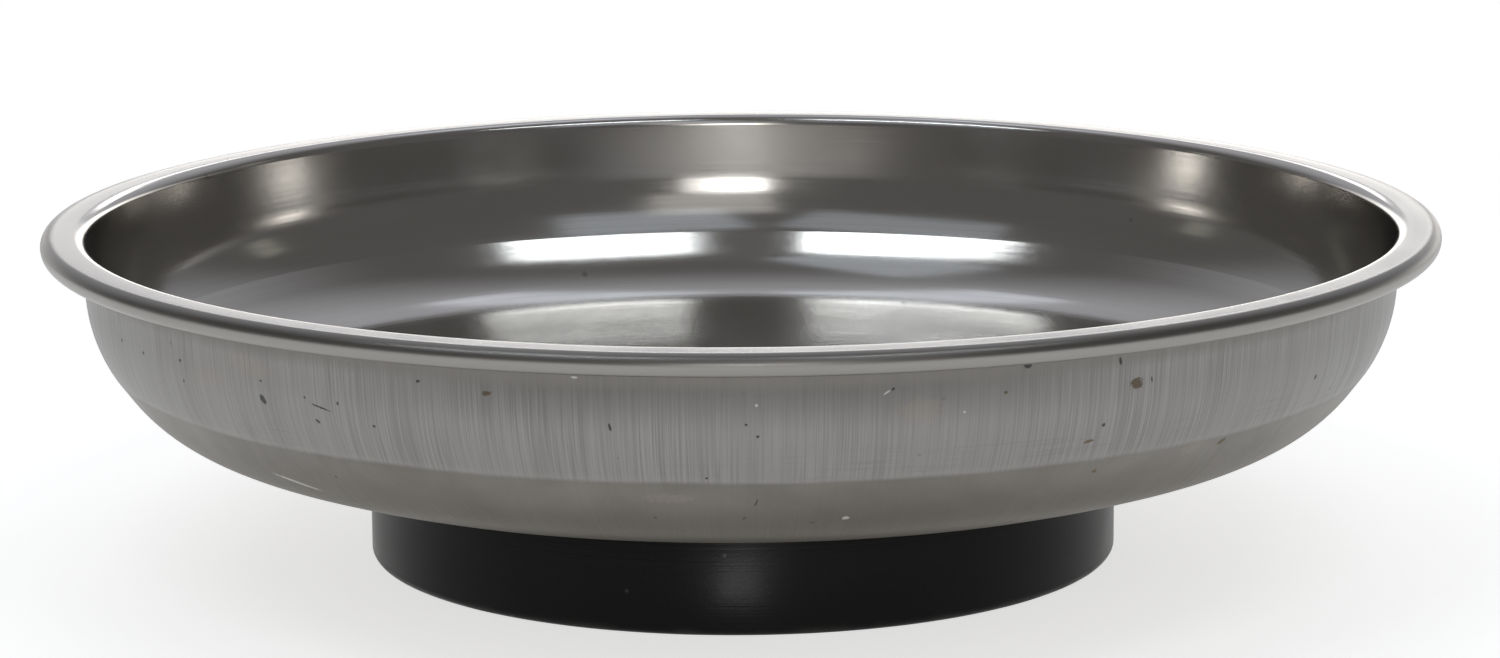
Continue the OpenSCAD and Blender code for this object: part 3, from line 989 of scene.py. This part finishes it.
ferrite = dull_solid(
    "ground_ferrite", (0.070, 0.070, 0.075, 1.0), (0.045, 0.045, 0.05, 1.0),
    (0.02, 0.02, 0.02, 1.0), 350.0, 0.55, 0.00008, 1200.0)
foam = dull_solid(
    "gasket_foam", (0.035, 0.035, 0.036, 1.0), (0.022, 0.022, 0.022, 1.0),
    (0.008, 0.008, 0.008, 1.0), 2200.0, 0.85, 0.0001, 600.0)
for node_name, material in (("ring_magnet", ferrite), ("seat_gasket", foam)):
    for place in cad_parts[node_name].material_slots:
        place.material = material

# %% [markdown]
# ## The stage
# The tray stands on a plain pale table top, which is part of the stage and not of the object.
# It is large enough to fill every view. A little light of its own keeps it white, as a lit
# table is, while the tray's shadow still shows under the wall.

# %% Set the stage
TABLE_SIZE = 8.0
deselect_all()
bpy.ops.mesh.primitive_plane_add(size=TABLE_SIZE, location=(0, 0, 0))
table = bpy.context.object
table.name = "table_top"
paper, tree, shader = new_finish(
    "pale_paper", Metallic=0.0, Roughness=0.9, Specular_IOR_Level=0.1,
    Emission_Color=(1.0, 1.0, 0.995, 1.0), Emission_Strength=0.67)
fibre = put(tree, "TexNoise", {
    "Vector": object_place(tree), "Scale": 900.0, "Detail": 3.0}).outputs["Fac"]
paper_tone = tint(tree, fibre, (0.90, 0.90, 0.895, 1.0), (0.94, 0.94, 0.94, 1.0))
tree.links.new(paper_tone, shader.inputs["Base Color"])
table.data.materials.append(paper)
print("table top", table.dimensions.x, "m across")

# %% [markdown]
# ## The light
# Polished steel shows its surroundings, so the light is set up by what the bowl should
# reflect. The room is dim in front of the tray and grey beyond it, and a low wide window glows
# at its far end. Beyond the tray means towards +Y, away from the viewer.

# %% A room that is dim in front and grey beyond
DIM_ROOM = (0.115, 0.112, 0.11, 1.0)
FAR_ROOM = (0.46, 0.465, 0.50, 1.0)
WINDOW_GLOW = (2.4, 2.35, 2.27, 1.0)
WINDOW_FALL_OFF = 4.5
WINDOW_TOP = 0.175, 0.135
WINDOW_WAY = (0.14, 0.99, 0.0)
BEYOND_WAY = (0.0, 0.8, 0.6)
BEYOND_SHARE = 0.45, 0.95

world = bpy.data.worlds.new("workshop")
bpy.context.scene.world = world
world.use_nodes = True
tree = world.node_tree
background = tree.nodes["Background"]
facing = put(tree, "TexCoord").outputs["Generated"]
beyond = put(tree, "VectorMath", {0: facing, 1: BEYOND_WAY},
             operation="DOT_PRODUCT").outputs["Value"]
room = tint(tree, soft_step(tree, beyond, *BEYOND_SHARE), DIM_ROOM, FAR_ROOM)
across_room = put(tree, "VectorMath", {0: facing, 1: WINDOW_WAY},
                  operation="DOT_PRODUCT").outputs["Value"]
rise = put(tree, "SeparateXYZ", {0: facing}).outputs["Z"]
far_window = calc(tree, "MULTIPLY", soft_step(tree, rise, *WINDOW_TOP), calc(
    tree, "POWER", calc(tree, "MAXIMUM", across_room, 0.0), WINDOW_FALL_OFF))
room = tint(tree, far_window, room, WINDOW_GLOW)
tree.links.new(room, background.inputs["Color"])
print("room ready")

# %% [markdown]
# A soft panel stands behind the viewer and a bright lamp just in front of it: they give the
# upright band and the bright spot on the far wall. A screen above them and three faint
# ceiling panels fill the bowl, and a lamp beyond the tray draws thin lines on the near rim.
# Two cool panels beyond the tray colour the bowl's floor, and two small greenish ones at the
# sides stand for leaves outside a window. Two long tubes overhead give the two white bars.

# %% Panels, tubes and a lamp
LAMP_TARGET = Vector((0, 0, 20 * MM))


def panel(name, bearing, rise, distance, width, height, brightness, colour):
    """A rectangular light that faces the tray: bearing 0 is in front of it, + is to +X."""
    flat = distance * math.cos(math.radians(rise))
    place = LAMP_TARGET + Vector((
        flat * math.sin(math.radians(bearing)), -flat * math.cos(math.radians(bearing)),
        distance * math.sin(math.radians(rise))))
    bpy.ops.object.light_add(type="AREA", location=place)
    light = bpy.context.object
    light.name = name
    light.data.shape = "RECTANGLE"
    light.data.size = width
    light.data.size_y = height
    light.data.energy = brightness * width * height * math.pi
    light.data.color = colour
    light.rotation_mode = "QUATERNION"
    light.rotation_quaternion = (LAMP_TARGET - place).to_track_quat("-Z", "Y")
    print(name, "at", [round(c, 2) for c in place])


WARM = (1.0, 0.985, 0.96)
COOL = (0.80, 0.88, 1.0)
LEAF = (0.95, 0.97, 0.80)
# Bearing and rise in degrees, then distance, width and height in metres, and brightness.
panel("soft_screen", 6, 30, 1.8, 0.70, 0.60, 0.40, WARM)
panel("behind_viewer", 3, 12, 1.6, 0.44, 0.42, 1.35, WARM)
panel("bright_lamp", 0.9, 12, 1.5, 0.26, 0.32, 3.0, WARM)
panel("far_lamp", 177, 22, 1.6, 0.60, 0.26, 1.8, WARM)
panel("ceiling_right", 22, 46, 1.9, 1.00, 0.70, 0.33, COOL)
panel("ceiling_left", -38, 47, 1.9, 1.20, 0.60, 0.26, COOL)
panel("ceiling_top", -62, 71, 1.9, 0.80, 0.60, 0.38, COOL)
panel("cool_left", -157, 61, 1.5, 0.45, 0.28, 0.50, COOL)
panel("cool_right", 157, 62, 1.5, 0.45, 0.28, 0.50, COOL)
panel("leaf_left", -98, 13, 1.5, 0.16, 0.24, 0.20, LEAF)
panel("leaf_right", 105, 17, 1.5, 0.16, 0.28, 0.20, LEAF)


TUBE_WHITE = (0.90, 0.95, 1.0)
TUBE_HEIGHT = 1.33
TUBE_ENDS = (
    ("left", Vector((-1.0, -0.26, TUBE_HEIGHT)), Vector((-0.215, -0.57, TUBE_HEIGHT))),
    ("right", Vector((0.165, -0.58, TUBE_HEIGHT)), Vector((0.80, -0.35, TUBE_HEIGHT))))
# Each tube is a bright strip with a dimmer one beside it, on the side away from the tray. A
# strip has a shift towards the tray and a thickness in metres, and a brightness.
TUBE_STRIPS = (("bright", 0.024, 0.044, 9.0), ("dim", -0.022, 0.046, 2.4))


def tube(name, start, end, thickness, brightness):
    """A long light between two points, which faces the tray."""
    middle, length = (start + end) / 2, (end - start).length
    bpy.ops.object.light_add(type="AREA", location=middle)
    light = bpy.context.object
    light.name = name
    light.data.shape = "RECTANGLE"
    light.data.size = length
    light.data.size_y = thickness
    light.data.energy = brightness * length * thickness * math.pi
    light.data.color = TUBE_WHITE
    lengthwise = (end - start).normalized()
    backward = (middle - LAMP_TARGET).normalized()
    backward = (backward - backward.dot(lengthwise) * lengthwise).normalized()
    light.rotation_mode = "QUATERNION"
    light.rotation_quaternion = Matrix(
        (lengthwise, backward.cross(lengthwise), backward)).transposed().to_quaternion()
    print(name, round(length, 2), "m long")


for strip, inward, thickness, brightness in TUBE_STRIPS:
    shift = Vector((0.0, inward, 0.0))
    for side, start, end in TUBE_ENDS:
        tube(strip + "_tube_" + side, start + shift, end + shift, thickness, brightness)

# %% [markdown]
# The boot's side stands upright, so all it can mirror is the table just in front of it. A
# narrow strip of light lying there gives the soft upright glint on the rubber. Only that
# reflection is wanted, so the strip is hidden from the camera and lights the boot alone.

# %% A glint on the boot
GLINT_WIDTH, GLINT_LENGTH = 9 * MM, 62 * MM
GLINT_PLACE = (-1 * MM, -boot_radius - 48 * MM, 0.4 * MM)
GLINT_BRIGHTNESS = 12.0
bpy.ops.object.light_add(type="AREA", location=GLINT_PLACE, rotation=(math.pi, 0, 0))
glint = bpy.context.object
glint.name = "glint_strip"
glint.data.shape = "RECTANGLE"
glint.data.size = GLINT_WIDTH
glint.data.size_y = GLINT_LENGTH
glint.data.energy = GLINT_BRIGHTNESS * GLINT_WIDTH * GLINT_LENGTH * math.pi
glint.visible_camera = False
only_boot = bpy.data.collections.new("lit_by_the_glint")
only_boot.objects.link(boot)
glint.light_linking.receiver_collection = only_boot
print("glint strip", round(glint.data.energy, 4), "W")
